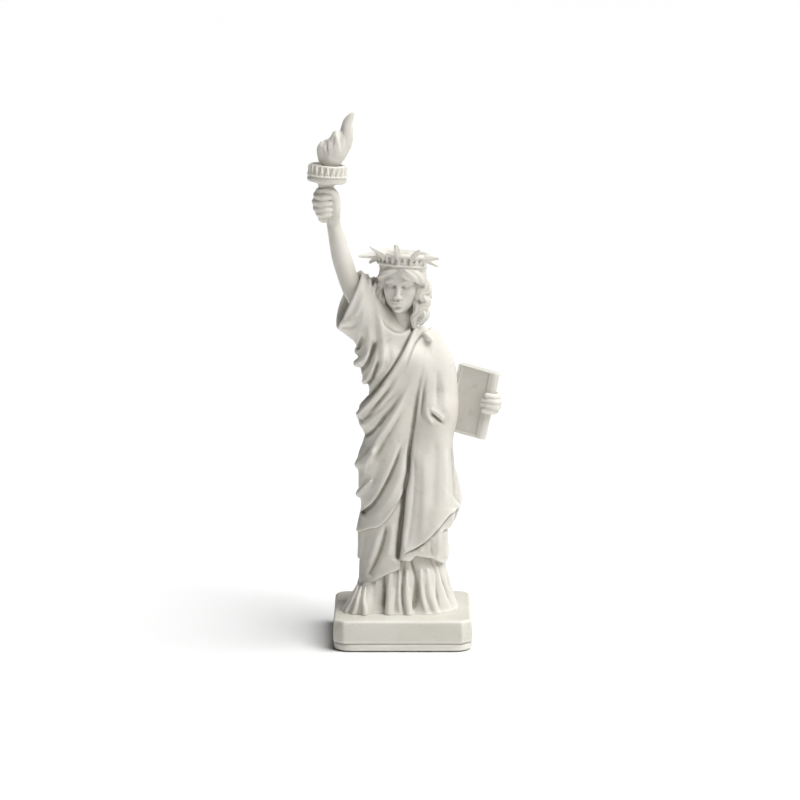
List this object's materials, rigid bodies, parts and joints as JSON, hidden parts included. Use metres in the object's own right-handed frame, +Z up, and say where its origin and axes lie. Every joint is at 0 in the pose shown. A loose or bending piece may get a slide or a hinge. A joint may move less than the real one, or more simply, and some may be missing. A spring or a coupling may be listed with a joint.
{
  "type": "miniature landmark model",
  "caption": "Souvenir figurine of a robed, crowned figure raising a torch and holding a tablet, cast in pale resin on a square plinth.",
  "frame": {"origin": "centre of the felt pad's underside, on the surface that the model stands on", "axes": "+Z up, the figure faces -Y, +X to the viewer's right, which is the side of the tablet"},
  "size_m": [0.0537, 0.0392, 0.1493],
  "materials": {
    "cast_resin": "matte",
    "base_resin": "matte",
    "zinc_steel": "satin",
    "plain_steel": "satin",
    "brass": "satin",
    "ballast": "matte",
    "felt": "matte"
  },
  "bodies": {
    "root": {"arm_wire": "plain_steel", "ballast_block": "ballast", "bolt_washer": "zinc_steel", "bottom_plate": "base_resin", "cloak": "cast_resin", "diadem": "cast_resin", "felt_pad": "felt", "figure_bolt": "zinc_steel", "gown": "cast_resin", "head": "cast_resin", "left_hand": "cast_resin", "neck_dowel": "plain_steel", "plate_screws": "zinc_steel", "plinth": "base_resin", "ray_1": "cast_resin", "ray_2": "cast_resin", "ray_3": "cast_resin", "ray_4": "cast_resin", "ray_5": "cast_resin", "ray_6": "cast_resin", "ray_7": "cast_resin", "right_arm": "cast_resin", "tablet": "cast_resin", "tablet_pin": "plain_steel", "threaded_insert": "brass", "torch_flame": "cast_resin", "torch_gallery": "cast_resin", "torch_handle": "cast_resin"}
  },
  "joints": []
}
